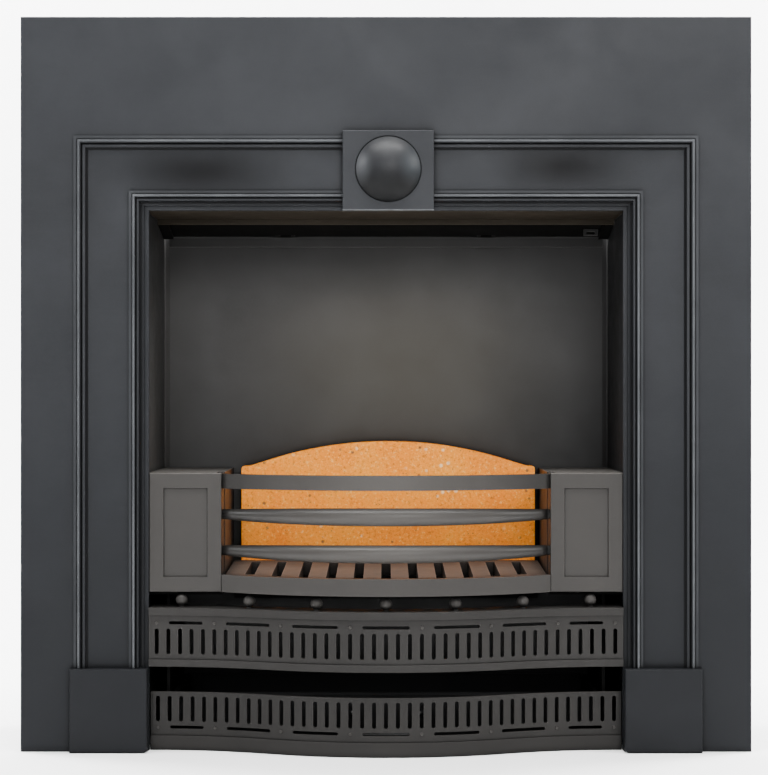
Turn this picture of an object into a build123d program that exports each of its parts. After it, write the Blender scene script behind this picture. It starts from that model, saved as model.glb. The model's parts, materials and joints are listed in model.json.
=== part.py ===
from build123d import *
from math import sin, cos, asin, atan, radians, degrees, sqrt, pi
import os

os.makedirs("parts", exist_ok=True)

# ---------------------------------------------------------------------------
# Cast-iron hob-grate fireplace insert. All sizes in millimetres.
# +Z up, X across the opening, -Y towards the room, +Y into the chimney.
# Depths below are written relative to the flat front border of the facia
# and shifted by YF, so that the origin is at the bottom centre of the object.
# ---------------------------------------------------------------------------
W = 965.0                 # facia width
H = 970.0                 # facia height
OPEN_X = 314.3            # half width of the fire opening
OPEN_Z = 715.0            # height of the fire opening
FRONT_MOST = -59.0        # centre of the bowed ledge
BACK_MOST = 237.5         # heads of the bolts behind the back plate
YF = -(FRONT_MOST + BACK_MOST) / 2

BORDER_T = 7.0            # border thickness
PANEL_LEVEL = 1.5         # the panel between the mouldings is sunk this much
PLATE_BACK = 9.0
RIM_DEPTH = 25.0          # return rim round the facia
RIM_T = 6.0
OM_X, OM_Z = 412.5, 813.0 # outer foot of the outer moulding
IM_X, IM_Z = 339.5, 740.3 # outer foot of the inner moulding
IM_BACK = 16.0

PLINTH_X0, PLINTH_X1, PLINTH_Z, PROUD = 314.0, 416.0, 110.5, 13.0
KEY_X, KEY_Z0, KEY_Z1 = 60.0, 713.8, 818.4
KEY_CX = 3.0              # tablet and boss sit this far right of the middle
BOSS_R, BOSS_H, BOSS_Z = 42.4, 23.0, 767.6

BOW = 58.0                # how far the front bows forward at the middle
U_I, U_E = 156.0, 311.0   # where the bow inflects and where it runs flat
E_UP, E_LOW = 2.0, 16.0   # depth of the flat ends, upper work and ash cover

HOB_X0, HOB_X1, HOB_Z0, HOB_Z1 = 218.0, 317.4, 210.0, 367.2
HOB_Y = 8.0               # hob fronts
HOB_WALL = 7.0
BACK_Y = 225.0            # face of the back plate
SIDE_X = 318.0            # inner face of the side plates
SIDE_T = 6.0
GRATE_TOP = 229.0         # top of the bottom grate at the front
GRATE_RISE = 8.0          # it climbs this much to the back
BRICK_Y = 190.0
BRICK_CX = 3.0            # the brick sits this far off centre
BAR_END = 14.0            # depth where the bars run into the hobs
BAR_FRONT = -56.0         # depth of bars and rail at the middle

theta = 2 * atan(BOW / U_E)
R_CONVEX = U_I / sin(theta)
R_CONCAVE = (U_E - U_I) / sin(theta)


def yy(depth):
    return YF + depth


def ledge_y(x):
    """Y of the serpentine front line of the upper work at x."""
    a = abs(x)
    if a < U_I:
        return yy(E_UP) - BOW + R_CONVEX - sqrt(R_CONVEX ** 2 - a ** 2)
    if a < U_E:
        return yy(E_UP) - R_CONCAVE + sqrt(R_CONCAVE ** 2 - (U_E - a) ** 2)
    return yy(E_UP)


def xz(depth):
    """Upright plane at a depth, sketch axes X and Z, normal towards the room."""
    return Plane(origin=(0, yy(depth), 0), x_dir=(1, 0, 0), z_dir=(0, -1, 0))


def yz(x):
    """Upright plane at one X, sketch axes Y and Z, normal along +X."""
    return Plane(origin=(x, 0, 0), x_dir=(0, 1, 0), z_dir=(1, 0, 0))


def bow_points(e, o):
    """Key points of the serpentine plan curve, o behind its front line."""
    c1 = (-U_E, yy(e) - R_CONCAVE)
    r1 = R_CONCAVE + o
    infl = (c1[0] + r1 * sin(theta), c1[1] + r1 * cos(theta))
    mid1 = (c1[0] + r1 * sin(theta / 2), c1[1] + r1 * cos(theta / 2))
    return (-U_E, yy(e) + o), mid1, infl, (0.0, yy(e) - BOW + o)


def bow_at(s, e, o=0.0):
    """Point and tangent angle at arc length s from the middle, on the curve o behind the front line."""
    sgn = 1 if s >= 0 else -1
    a = abs(s)
    arc2 = R_CONVEX * theta
    arc1 = R_CONCAVE * theta
    if a <= arc2:
        t = a / R_CONVEX
        cx, cy = 0.0, yy(e) - BOW + R_CONVEX
        x = cx + (R_CONVEX - o) * sin(t)
        y = cy - (R_CONVEX - o) * cos(t)
        ang = t
    elif a <= arc2 + arc1:
        t = theta - (a - arc2) / R_CONCAVE
        cx, cy = U_E, yy(e) - R_CONCAVE
        x = cx - (R_CONCAVE + o) * sin(t)
        y = cy + (R_CONCAVE + o) * cos(t)
        ang = t
    else:
        x = U_E + (a - arc2 - arc1)
        y = yy(e) + o
        ang = 0.0
    return sgn * x, y, sgn * ang


def bow_plane(s, e, z, o=0.0):
    """Upright plane on the curve: x along the curve, y up, normal towards the room."""
    x, y, ang = bow_at(s, e, o)
    return Plane(origin=(x, y, z), x_dir=(cos(ang), sin(ang), 0), z_dir=(sin(ang), -cos(ang), 0))


def bow_face(e, o1, o2, xe):
    """Closed plan outline between two offsets of the curve, ending at x = +-xe."""
    with BuildLine() as ln:
        for o in (o1, o2):
            a, m, i, c = bow_points(e, o)
            Line((-xe, a[1]), a)
            ThreePointArc(a, m, i)
            ThreePointArc(i, c, (-i[0], i[1]))
            ThreePointArc((-i[0], i[1]), (-m[0], m[1]), (-a[0], a[1]))
            Line((-a[0], a[1]), (xe, a[1]))
        Line((-xe, yy(e) + o1), (-xe, yy(e) + o2))
        Line((xe, yy(e) + o1), (xe, yy(e) + o2))
    make_face(ln.edges())


def arc_r(end_depth):
    """Radius of the plain arc from a depth at the hob faces to the bars' front line."""
    sag = end_depth - BAR_FRONT
    return (218.2 ** 2 + sag ** 2) / (2 * sag)


def arc_y(end_depth, o, x):
    """Y of the plain arc, o behind its front line, at x."""
    r = arc_r(end_depth)
    return yy(BAR_FRONT) + r - sqrt((r - o) ** 2 - x ** 2)


def arc_strip(end_depth, o1, o2, xe):
    """Closed plan outline between two offsets of the plain arc, cut at x = +-xe."""
    with BuildLine() as ln:
        for o in (o1, o2):
            y = arc_y(end_depth, o, xe)
            ThreePointArc((-xe, y), (0, arc_y(end_depth, o, 0)), (xe, y))
        for x in (-xe, xe):
            Line((x, arc_y(end_depth, o1, xe)), (x, arc_y(end_depth, o2, xe)))
    make_face(ln.edges())


def u_ring(x_out, z_out, x_in, z_in, z0=0.0):
    """Upright portal outline: outer size, inner size, open at the bottom."""
    with BuildLine() as ln:
        Polyline((-x_out, z0), (-x_out, z_out), (x_out, z_out), (x_out, z0),
                 (x_in, z0), (x_in, z_in), (-x_in, z_in), (-x_in, z0), close=True)
    make_face(ln.edges())


def save(builder, name):
    builder.part.label = name
    export_step(builder.part, f"parts/{name}.step")
    print(name, len(builder.part.solids()), round(builder.part.volume), builder.part.is_valid)


# bolt positions shared by the castings they join
FLANGE_BOLTS = [(sx * 331.0, z) for sx in (-1, 1) for z in (150, 320, 490, 660)]
SHELF_BOLTS = [(x, 728.0) for x in (-220.0, 0.0, 220.0)]
BACK_BOLTS = [(sx * 334.0, z) for sx in (-1, 1) for z in (70, 260, 450, 640)]

# --------------------------------------------------------------------------
# facia: one iron casting, border, two mitred mouldings, sunk panel, back rim
# --------------------------------------------------------------------------
with BuildPart() as facia:
    with BuildSketch(xz(PLATE_BACK)):
        u_ring(W / 2, H, 329.0, 729.7)
    extrude(amount=PLATE_BACK - PANEL_LEVEL)
    with BuildSketch(xz(BORDER_T)):
        u_ring(W / 2, H, OM_X - 12.0, OM_Z - 12.0)
    extrude(amount=BORDER_T)
    # outer moulding
    x0 = -OM_X
    with BuildSketch(Plane.XY.offset(PLINTH_Z)) as prof:
        with BuildLine():
            p = [(0, 6), (0, -2.2), (4.3, -2.2), (4.3, 0.6), (5.3, 0.6), (5.3, -3.6)]
            p = [(x0 + a, yy(b)) for a, b in p]
            Polyline(*p)
            ThreePointArc(p[-1], (x0 + 8.0, yy(-6.3)), (x0 + 10.7, yy(-3.6)))
            q = [(10.7, -3.6), (10.7, 0.8), (12.1, 0.8), (12.1, -3.0), (15.6, -3.0), (16.2, -2.4), (16.2, 0.2), (19.5, PANEL_LEVEL), (19.5, 6), (0, 6)]
            q = [(x0 + a, yy(b)) for a, b in q]
            Polyline(*q)
        make_face()
    with BuildLine() as path:
        Polyline((x0, yy(0), PLINTH_Z), (x0, yy(0), OM_Z), (OM_X, yy(0), OM_Z), (OM_X, yy(0), PLINTH_Z))
    sweep(path=path.wires()[0], transition=Transition.RIGHT)
    # inner moulding, stepping down to the opening
    x1 = -IM_X
    with BuildSketch(Plane.XY) as prof2:
        with BuildLine():
            p = [(0, IM_BACK), (0, -2.2), (4.0, -2.2), (4.0, 0.4), (5.0, 0.4), (5.0, -4.6)]
            p = [(x1 + a, yy(b)) for a, b in p]
            Polyline(*p)
            ThreePointArc(p[-1], (x1 + 7.2, yy(-6.8)), (x1 + 9.4, yy(-4.6)))
            q = [(9.4, -4.6), (9.4, -0.4), (10.8, -0.4), (10.8, -5.0), (13.0, -5.0), (13.6, -4.4), (14.6, -1.2), (16.6, 1.2), (19.5, 2.2), (19.5, 6.0), (25.5, 6.0), (25.5, IM_BACK), (0, IM_BACK)]
            q = [(x1 + a, yy(b)) for a, b in q]
            Polyline(*q)
        make_face()
    with BuildLine() as path2:
        Polyline((x1, yy(0), 0), (x1, yy(0), IM_Z), (IM_X, yy(0), IM_Z), (IM_X, yy(0), 0))
    sweep(path=path2.wires()[0], transition=Transition.RIGHT)
    # rim round the outside and stiffening ribs on the back
    with BuildSketch(xz(RIM_DEPTH)):
        u_ring(W / 2, H, W / 2 - RIM_T, H - RIM_T)
    extrude(amount=RIM_DEPTH - BORDER_T)
    with BuildSketch(xz(RIM_DEPTH - 4)):
        u_ring(441, 930, 435, 924)
        for sx in (-1, 1):
            with Locations((sx * 458.5, 180), (sx * 458.5, 470), (sx * 458.5, 760)):
                Rectangle(36.5, 6)
        with Locations((-220, 947), (220, 947)):
            Rectangle(6, 36)
    extrude(amount=RIM_DEPTH - 4 - PLATE_BACK + 2)
    # seat for the tablet, stud hole, tapped holes for the casing
    with BuildSketch(xz(PANEL_LEVEL)):
        with Locations((KEY_CX, (KEY_Z0 - 1 + KEY_Z1 + 0.2) / 2)):
            Rectangle(2 * KEY_X + 0.4, KEY_Z1 - KEY_Z0 + 1.2)
    extrude(amount=20, mode=Mode.SUBTRACT)
    # the moulding stops at the plinth blocks
    for sx in (-1, 1):
        with BuildSketch(xz(PANEL_LEVEL)):
            with Locations((sx * (PLINTH_X0 + 396.4) / 2, PLINTH_Z / 2)):
                Rectangle(396.4 - PLINTH_X0, PLINTH_Z)
        extrude(amount=20, mode=Mode.SUBTRACT)
    with BuildSketch(xz(30)):
        with Locations((KEY_CX, BOSS_Z)):
            Circle(4.2)
    extrude(amount=60, mode=Mode.SUBTRACT)
    with BuildSketch(xz(IM_BACK)):
        with Locations(*FLANGE_BOLTS, *SHELF_BOLTS):
            Circle(3.1)
    extrude(amount=4.5, mode=Mode.SUBTRACT)
    with BuildSketch(xz(PLATE_BACK)):
        for sx in (-1, 1):
            with Locations((sx * 365, 30), (sx * 365, 85)):
                Circle(3.1)
    extrude(amount=30, mode=Mode.SUBTRACT)
    rim_edges = [e for e in facia.edges() if abs(e.center().Y - yy(0)) < 0.01
                 and (abs(abs(e.center().X) - W / 2) < 0.01 or abs(e.center().Z - H) < 0.01)]
    chamfer(rim_edges, 1.0)
save(facia, "facia_casting")

# --------------------------------------------------------------------------
# plinth blocks
# --------------------------------------------------------------------------
for side, sx in (("left", -1), ("right", 1)):
    with BuildPart() as plinth:
        with BuildSketch(xz(-0.1)):
            with Locations((sx * (PLINTH_X0 + PLINTH_X1) / 2, PLINTH_Z / 2)):
                Rectangle(PLINTH_X1 - PLINTH_X0, PLINTH_Z)
        extrude(amount=PROUD - 0.1)
        inner = plinth.edges().filter_by(Axis.Y).sort_by(lambda e: abs(e.center().X) * 1000 + e.center().Z)[0]
        fillet(inner, 6.0)
        front = plinth.faces().sort_by(Axis.Y)[0]
        fillet(front.edges().filter_by(lambda e: e.center().Z > 1.0), 2.2)
        with BuildSketch(xz(PANEL_LEVEL - 0.1)):
            with Locations((sx * (PLINTH_X0 + 0.4 + 396.0) / 2, (PLINTH_Z - 0.4) / 2)):
                Rectangle(396.0 - PLINTH_X0 - 0.4, PLINTH_Z - 0.4)
        extrude(amount=PANEL_LEVEL)
        with BuildSketch(xz(PANEL_LEVEL - 0.1)):
            with Locations((sx * 365, 30), (sx * 365, 85)):
                Circle(3.1)
        extrude(amount=9.0, mode=Mode.SUBTRACT)
    save(plinth, f"plinth_{side}")

# --------------------------------------------------------------------------
# tablet with its round boss and the stud that holds both
# --------------------------------------------------------------------------
with BuildPart() as tablet:
    with BuildSketch(xz(PANEL_LEVEL - 0.1)):
        with Locations((KEY_CX, (KEY_Z0 + KEY_Z1) / 2)):
            Rectangle(2 * KEY_X, KEY_Z1 - KEY_Z0)
    extrude(amount=PROUD + PANEL_LEVEL - 0.1)
    front = tablet.faces().sort_by(Axis.Y)[0]
    chamfer(front.edges(), 0.9)
    with BuildSketch(xz(-PROUD)):
        with Locations((KEY_CX, BOSS_Z)):
            Circle(BOSS_R + 1.5)
    extrude(amount=-2.0, mode=Mode.SUBTRACT)
    with BuildSketch(xz(20)):
        with Locations((KEY_CX, BOSS_Z)):
            Circle(4.2)
    extrude(amount=60, mode=Mode.SUBTRACT)
save(tablet, "keystone_tablet")

with BuildPart() as boss:
    # domed cap turned about the stud's axis
    y_b = yy(-PROUD + 2.0)
    y_t = yy(-PROUD - BOSS_H + 3.0)
    with BuildSketch(yz(KEY_CX)):
        with BuildLine():
            l1 = Line((y_b, BOSS_Z), (y_b, BOSS_Z + BOSS_R))
            l2 = Line(l1 @ 1, (yy(-PROUD - 1.0), BOSS_Z + BOSS_R))
            h = yy(-PROUD - 1.0) - y_t
            rs = (BOSS_R ** 2 + h ** 2) / (2 * h)
            cy = y_t + rs
            am = asin(BOSS_R / rs) / 2
            ThreePointArc(l2 @ 1, (cy - rs * cos(am), BOSS_Z + rs * sin(am)), (y_t, BOSS_Z))
            Line((y_t, BOSS_Z), (y_b, BOSS_Z))
        make_face()
    revolve(axis=Axis((KEY_CX, 0, BOSS_Z), (0, 1, 0)))
    with BuildSketch(xz(-PROUD + 2.0)):
        with Locations((KEY_CX, BOSS_Z)):
            Circle(4.2)
    extrude(amount=9.0, mode=Mode.SUBTRACT)
save(boss, "boss_dome")

with BuildPart() as stud:
    with BuildSketch(xz(27)):
        with Locations((KEY_CX, BOSS_Z)):
            Circle(4.0)
    extrude(amount=27 + PROUD + 6.5)
    with BuildSketch(xz(20.4)):
        with Locations((KEY_CX, BOSS_Z)):
            RegularPolygon(7.5, 6)
    extrude(amount=6.4)
    with BuildSketch(xz(14.0)):
        with Locations((KEY_CX, BOSS_Z)):
            Circle(10)
    extrude(amount=1.9)
save(stud, "boss_stud_nut")

# --------------------------------------------------------------------------
# casing: side plates, back plate, throat shelf
# --------------------------------------------------------------------------
TAB_X, TAB_Y = 300.0, (70.0, 170.0)   # hearth fixing holes
for side, sx in (("left", -1), ("right", 1)):
    with BuildPart() as plate:
        with BuildSketch(yz(sx * SIDE_X)):
            with BuildLine():
                Polyline((yy(IM_BACK), 0), (yy(BACK_Y - 0.1), 0), (yy(BACK_Y - 0.1), 697.0), (yy(200), 700.0), (yy(143), 711.5), (yy(142), 715.1), (yy(IM_BACK), 715.1), close=True)
            make_face()
        extrude(amount=sx * SIDE_T)
        with BuildSketch(xz(IM_BACK + 6)):
            with Locations((sx * 332.0, 350)):
                Rectangle(28.0, 700)
        extrude(amount=6)
        with BuildSketch(xz(BACK_Y - 0.1)):
            with Locations((sx * 333.0, 345)):
                Rectangle(30.0, 690)
        extrude(amount=6)
        # tabs on the hearth, screwed down inside the ash pit
        with BuildSketch(Plane.XY):
            with Locations((sx * 303.5, yy(TAB_Y[0])), (sx * 303.5, yy(TAB_Y[1]))):
                Rectangle(29.0, 34.0)
        extrude(amount=5.0)
        with BuildSketch(xz(0)):
            with Locations(*[b for b in FLANGE_BOLTS if b[0] * sx > 0]):
                Circle(3.3)
        extrude(amount=-60, mode=Mode.SUBTRACT)
        with BuildSketch(xz(BACK_Y + 5)):
            with Locations(*[b for b in BACK_BOLTS if b[0] * sx > 0]):
                Circle(3.3)
        extrude(amount=60, mode=Mode.SUBTRACT)
        with BuildSketch(Plane.XY.offset(-1)):
            with Locations((sx * TAB_X, yy(TAB_Y[0])), (sx * TAB_X, yy(TAB_Y[1]))):
                Circle(4.25)
        extrude(amount=10, mode=Mode.SUBTRACT)
    save(plate, f"side_plate_{side}")

HINGE_X = (-144.0, 144.0)
PIN_Y, PIN_Z, PIN_R = 221.5, 704.5, 3.0
with BuildPart() as back:
    with BuildSketch(xz(BACK_Y + 7)):
        with Locations((0, 699.2 / 2)):
            Rectangle(2 * 348, 699.2)
    extrude(amount=7)
    # bevelled strips along the sides of the field
    for sx in (-1, 1):
        with BuildSketch(Plane.XY.offset(0)):
            with BuildLine():
                Polyline((sx * 311, yy(BACK_Y)), (sx * 317.7, yy(BACK_Y)), (sx * 317.7, yy(BACK_Y - 6.5)), close=True)
            make_face()
        extrude(amount=699.2)
    # ribs on the back
    with BuildSketch(xz(BACK_Y + 11)):
        with Locations((0, 180), (0, 360), (0, 540)):
            Rectangle(600, 7)
        with Locations((-150, 360), (150, 360)):
            Rectangle(7, 620)
    extrude(amount=4.5)
    with BuildSketch(xz(BACK_Y + 20)):
        with Locations(*BACK_BOLTS):
            Circle(3.3)
    extrude(amount=40, mode=Mode.SUBTRACT)
save(back, "back_plate")

with BuildPart() as hinge_rail:
    # bar along the top of the back plate that closes the gap behind the damper
    with BuildSketch(yz(-310.5)):
        with Locations((yy(216.5), 689.6)):
            Rectangle(3.6, 13.2)
    extrude(amount=2 * 310.5)
save(hinge_rail, "hinge_rail")

with BuildPart() as hinge_lugs:
    # two forked lugs standing on the top edge of the back plate
    for hx in HINGE_X:
        for dx in (-10.5, 10.5):
            with BuildSketch(yz(hx + dx - 2.5)):
                with BuildLine():
                    Polyline((yy(218.6), 699.3), (yy(231.8), 699.3), (yy(231.8), 704), (yy(226.5), 710.5), (yy(216.5), 710.5), (yy(216.5), 700), close=True)
                make_face()
                with Locations((yy(PIN_Y), PIN_Z)):
                    Circle(PIN_R, mode=Mode.SUBTRACT)
            extrude(amount=5.0)
        with BuildSketch(Plane.XY.offset(699.3)):
            with Locations((hx, yy(229.6))):
                Rectangle(30.0, 4.4)
        extrude(amount=3.0)
save(hinge_lugs, "damper_hinge_lugs")

with BuildPart() as pins:
    for hx in HINGE_X:
        with BuildSketch(yz(hx - 15)):
            with Locations((yy(PIN_Y), PIN_Z)):
                Circle(PIN_R)
        extrude(amount=30)
save(pins, "damper_hinge_pins")

with BuildPart() as shelf:
    # soffit behind the lintel with a lip turned down along its rear edge
    with BuildSketch(yz(-323.5)):
        with BuildLine():
            Polyline((yy(IM_BACK + 0.1), 715.2), (yy(140), 715.2), (yy(140), 721.0), (yy(22.1), 721.0), (yy(22.1), 738.0), (yy(IM_BACK + 0.1), 738.0), close=True)
        make_face()
    extrude(amount=2 * 323.5)
    with BuildSketch(xz(140)):
        with Locations((0, 712.0)):
            Rectangle(2 * 317.6, 8.0)
    extrude(amount=4.5)
    with BuildSketch(xz(0)):
        with Locations(*SHELF_BOLTS):
            Circle(3.3)
    extrude(amount=-60, mode=Mode.SUBTRACT)
save(shelf, "throat_shelf")

# the closed damper slopes down to its hinge
D_FRONT, D_REAR = (143.5, 711.4), (214.0, 697.8)
D_LEN = sqrt((D_REAR[0] - D_FRONT[0]) ** 2 + (D_REAR[1] - D_FRONT[1]) ** 2)
UY, UZ = (D_REAR[0] - D_FRONT[0]) / D_LEN, (D_REAR[1] - D_FRONT[1]) / D_LEN
D_T = 6.6


def dp(along, up):
    """Point beside the damper: distance along its underside, height above it."""
    return (yy(D_FRONT[0]) + along * UY - up * UZ, D_FRONT[1] + along * UZ + up * UY)


with BuildPart() as ledges:
    # flat bars on the side plates that carry the closed damper
    for sx in (-1, 1):
        with BuildSketch(yz(sx * 303.5)):
            with BuildLine():
                Polyline(dp(0.5, -0.35), dp(70, -0.35), dp(70, -4.3), dp(0.5, -4.3), close=True)
            make_face()
        extrude(amount=sx * 14.3)
save(ledges, "damper_ledges")

# --------------------------------------------------------------------------
# damper flap
# --------------------------------------------------------------------------
with BuildPart() as flap:
    with BuildSketch(yz(-307.5)):
        with BuildLine():
            Polyline(dp(0, 0), dp(D_LEN, 0), dp(D_LEN, D_T), dp(0, D_T), close=True)
        make_face()
    extrude(amount=2 * 307.5)
    fillet(flap.edges().filter_by(Axis.X).sort_by(Axis.Y)[0:2], 1.2)
    # stiffening ribs on the flue side
    with BuildSketch(yz(-280)):
        with BuildLine():
            Polyline(dp(32, D_T - 0.5), dp(38, D_T - 0.5), dp(38, D_T + 7), dp(32, D_T + 7), close=True)
        make_face()
    extrude(amount=560)
    for rx in (-200.0, 0.0, 200.0):
        with BuildSketch(yz(rx - 3)):
            with BuildLine():
                Polyline(dp(4, D_T - 0.5), dp(64, D_T - 0.5), dp(60, D_T + 5.5), dp(8, D_T + 5.5), close=True)
            make_face()
        extrude(amount=6)
    # notches round the lugs, then the hinge tongues
    for hx in HINGE_X:
        with BuildSketch(yz(hx - 14.2)):
            with BuildLine():
                Polyline(dp(D_LEN - 8, -1), dp(D_LEN + 3, -1), dp(D_LEN + 3, D_T + 1), dp(D_LEN - 8, D_T + 1), close=True)
            make_face()
        extrude(amount=28.4, mode=Mode.SUBTRACT)
        with BuildSketch(yz(hx - 7.5)):
            with BuildLine():
                Polyline(dp(D_LEN - 16, D_T - 0.5), dp(D_LEN - 16, 0.5), (yy(PIN_Y - 3.6), PIN_Z - 4.3), (yy(PIN_Y), PIN_Z), (yy(PIN_Y), PIN_Z + 5.6), (yy(PIN_Y - 8), PIN_Z + 4.6), close=True)
            make_face()
            with Locations((yy(PIN_Y), PIN_Z)):
                Circle(5.6)
                Circle(PIN_R + 0.06, mode=Mode.SUBTRACT)
        extrude(amount=15)
save(flap, "damper_flap")

with BuildPart() as pull:
    # poker loop under the flap
    with BuildSketch(xz(178)):
        with Locations((289, 700.4)):
            Rectangle(20, 9.0)
        with Locations((289, 699.4)):
            SlotOverall(13, 4.2, mode=Mode.SUBTRACT)
    extrude(amount=4.0)
    with BuildSketch(yz(279)):
        with BuildLine():
            Polyline(dp(20, -0.1), dp(50, -0.1), dp(50, -60), dp(20, -60), close=True)
        make_face()
    extrude(amount=20, mode=Mode.INTERSECT)
save(pull, "damper_pull")

# --------------------------------------------------------------------------
# hobs and what they stand on
# --------------------------------------------------------------------------
for side, sx in (("left", -1), ("right", 1)):
    with BuildPart() as hob:
        xm, xw = sx * (HOB_X0 + HOB_X1) / 2, HOB_X1 - HOB_X0
        with BuildSketch(Plane.XY.offset(HOB_Z0)):
            with Locations((xm, (yy(HOB_Y) + yy(218.2)) / 2)):
                Rectangle(xw, 218.2 - HOB_Y)
        extrude(amount=HOB_Z1 - HOB_Z0)
        # hollow inside, open below, behind and against the side plate
        with BuildSketch(Plane.XY.offset(HOB_Z0)):
            with Locations((sx * (232.6 + 340) / 2, yy(HOB_Y + HOB_WALL + 120))):
                Rectangle(340 - 232.6, 240)
        extrude(amount=HOB_Z1 - HOB_Z0 - HOB_WALL, mode=Mode.SUBTRACT)
        # pocket for the end of the bar set, open at the top
        with BuildSketch(Plane.XY.offset(HOB_Z0)):
            with Locations((sx * (HOB_X0 + 225.6) / 2, yy((12.5 + 62.0) / 2))):
                Rectangle(225.6 - HOB_X0, 62.0 - 12.5)
        extrude(amount=200, mode=Mode.SUBTRACT)
        # clear of the back of the facia
        with BuildSketch(Plane.XY.offset(HOB_Z0 - 1)):
            with Locations((sx * 318.6, yy(6.4))):
                Rectangle(10.0, 20.0)
        extrude(amount=200, mode=Mode.SUBTRACT)
        # sunk panel on the front
        with BuildSketch(xz(HOB_Y)):
            with Locations((sx * 265.5, 288.6)):
                Rectangle(58.6, 117.8)
        extrude(amount=-2.6, mode=Mode.SUBTRACT, taper=18)
        fr = hob.edges().filter_by(lambda e: abs(e.center().Y - yy(HOB_Y)) < 0.01 and (abs(e.center().Z - HOB_Z1) < 0.01 or abs(e.center().Z - HOB_Z0) < 0.01 or abs(abs(e.center().X) - HOB_X0) < 0.01 or abs(abs(e.center().X) - 313.6) < 0.01))
        fillet(fr, 1.0)
    save(hob, f"hob_{side}")

    with BuildPart() as base:
        with BuildSketch(Plane.XY.offset(HOB_Z0 - 6.0)):
            with Locations((sx * (HOB_X0 + 0.4 + 317.4) / 2, yy((34 + 218.2) / 2))):
                Rectangle(317.4 - HOB_X0 - 0.4, 218.2 - 34)
        extrude(amount=5.9)
    save(base, f"hob_base_{side}")

    with BuildPart() as wall:
        with BuildSketch(yz(sx * 290.0)):
            with Locations((yy((44 + 218) / 2), (5.2 + 203.9) / 2)):
                Rectangle(218 - 44, 203.9 - 5.2)
        extrude(amount=sx * 4.0)
    save(wall, f"pit_wall_{side}")

# --------------------------------------------------------------------------
# front rail with its inner ledge, rear ledge, bottom grate, fire brick
# --------------------------------------------------------------------------
RAIL_X = 217.7
with BuildPart() as rail:
    with BuildSketch(Plane.XY.offset(HOB_Z0)):
        arc_strip(HOB_Y, 0.0, 10.0, RAIL_X)
    extrude(amount=22.6)
    with BuildSketch(Plane.XY.offset(HOB_Z0)):
        arc_strip(HOB_Y, 9.0, 50.0, RAIL_X)
    extrude(amount=7.0)
save(rail, "front_rail")

with BuildPart() as rear:
    with BuildSketch(Plane.XY.offset(HOB_Z0)):
        with Locations((0, yy((160 + 224.7) / 2))):
            Rectangle(2 * 217.7, 224.7 - 160)
    extrude(amount=7.0)
    with BuildSketch(Plane.XY.offset(HOB_Z0 - 30)):
        with Locations((0, yy(221.7))):
            Rectangle(2 * 217.7, 6.0)
    extrude(amount=31.0)
save(rear, "rear_ledge")

SLOT_PITCH = 36.5
with BuildPart() as grate:
    with BuildSketch(Plane.XY.offset(HOB_Z0 + 7.4)):
        gx, go = 214.5, 24.0
        with BuildLine():
            ThreePointArc((-gx, arc_y(BAR_END, go, gx)), (0, arc_y(BAR_END, go, 0)), (gx, arc_y(BAR_END, go, gx)))
            Polyline((gx, arc_y(BAR_END, go, gx)), (gx, yy(186)), (-gx, yy(186)), (-gx, arc_y(BAR_END, go, gx)))
        make_face()
    extrude(amount=GRATE_TOP + GRATE_RISE - HOB_Z0 - 7.4)
    # the top slopes down towards the room
    with BuildSketch(yz(-250)):
        with BuildLine():
            Polyline((yy(-45), GRATE_TOP), (yy(0), GRATE_TOP), (yy(186.5), GRATE_TOP + GRATE_RISE), (yy(186.5), 260), (yy(-45), 260), close=True)
        make_face()
    extrude(amount=500, mode=Mode.SUBTRACT)
    with BuildSketch(Plane.XY.offset(HOB_Z0)):
        for k in range(-5, 6):
            xk = k * SLOT_PITCH
            # each slot starts the same distance behind the bowed edge
            y0, y1 = arc_y(BAR_END, 24.0, xk) + 16.0, yy(168.0)
            with Locations((xk, (y0 + y1) / 2)):
                RectangleRounded(13.0, y1 - y0, 2.5)
    extrude(amount=40, mode=Mode.SUBTRACT)
save(grate, "bottom_grate")

with BuildPart() as brick:
    with BuildSketch(Plane(origin=(BRICK_CX, yy(224.7), 0), x_dir=(1, 0, 0), z_dir=(0, -1, 0))):
        with BuildLine():
            rb, xs = 560.0, 180.0
            zs = 405.4 - rb + sqrt(rb ** 2 - xs ** 2)
            Polyline((-xs, zs), (-197.5, 370.6), (-208.5, 370.0), (-208.5, 217.1), (208.5, 217.1), (208.5, 370.0), (197.5, 370.6), (xs, zs))
            ThreePointArc((-xs, zs), (0, 405.4), (xs, zs))
        make_face()
    extrude(amount=224.7 - BRICK_Y)
    fillet(brick.edges().filter_by(Axis.Y).filter_by(lambda e: abs(abs(e.center().X - BRICK_CX) - 197.5) < 1.0), 24.0)
    fillet(brick.edges().filter_by(Axis.Y).filter_by(lambda e: abs(abs(e.center().X - BRICK_CX) - 208.5) < 0.5 and e.center().Z > 300), 4.0)
    fillet(brick.faces().sort_by(Axis.Y)[0].edges(), 1.2)
save(brick, "fire_brick")

# --------------------------------------------------------------------------
# bar set: a flat top bar and two bellied round bars between two end plates
# --------------------------------------------------------------------------
for side, sx in (("left", -1), ("right", 1)):
    with BuildPart() as endp:
        with BuildSketch(yz(sx * 218.8)):
            with Locations((yy(36.5), (HOB_Z0 + 0.3 + 366.2) / 2)):
                Rectangle(44.0, 366.2 - HOB_Z0 - 0.3)
        extrude(amount=sx * 5.8)
        chamfer(endp.edges().filter_by(Axis.X), 2.5)
    save(endp, f"bar_end_{side}")

with BuildPart() as flat_bar:
    with BuildSketch(Plane.XY.offset(346.6)):
        arc_strip(BAR_END, 0.0, 9.0, 218.7)
    extrude(amount=19.4)
save(flat_bar, "bar_top_flat")

R_MID = arc_r(BAR_END) - 9.0     # middle line of the round bars
BAR_ANGLE = asin(218.7 / R_MID)


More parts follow.
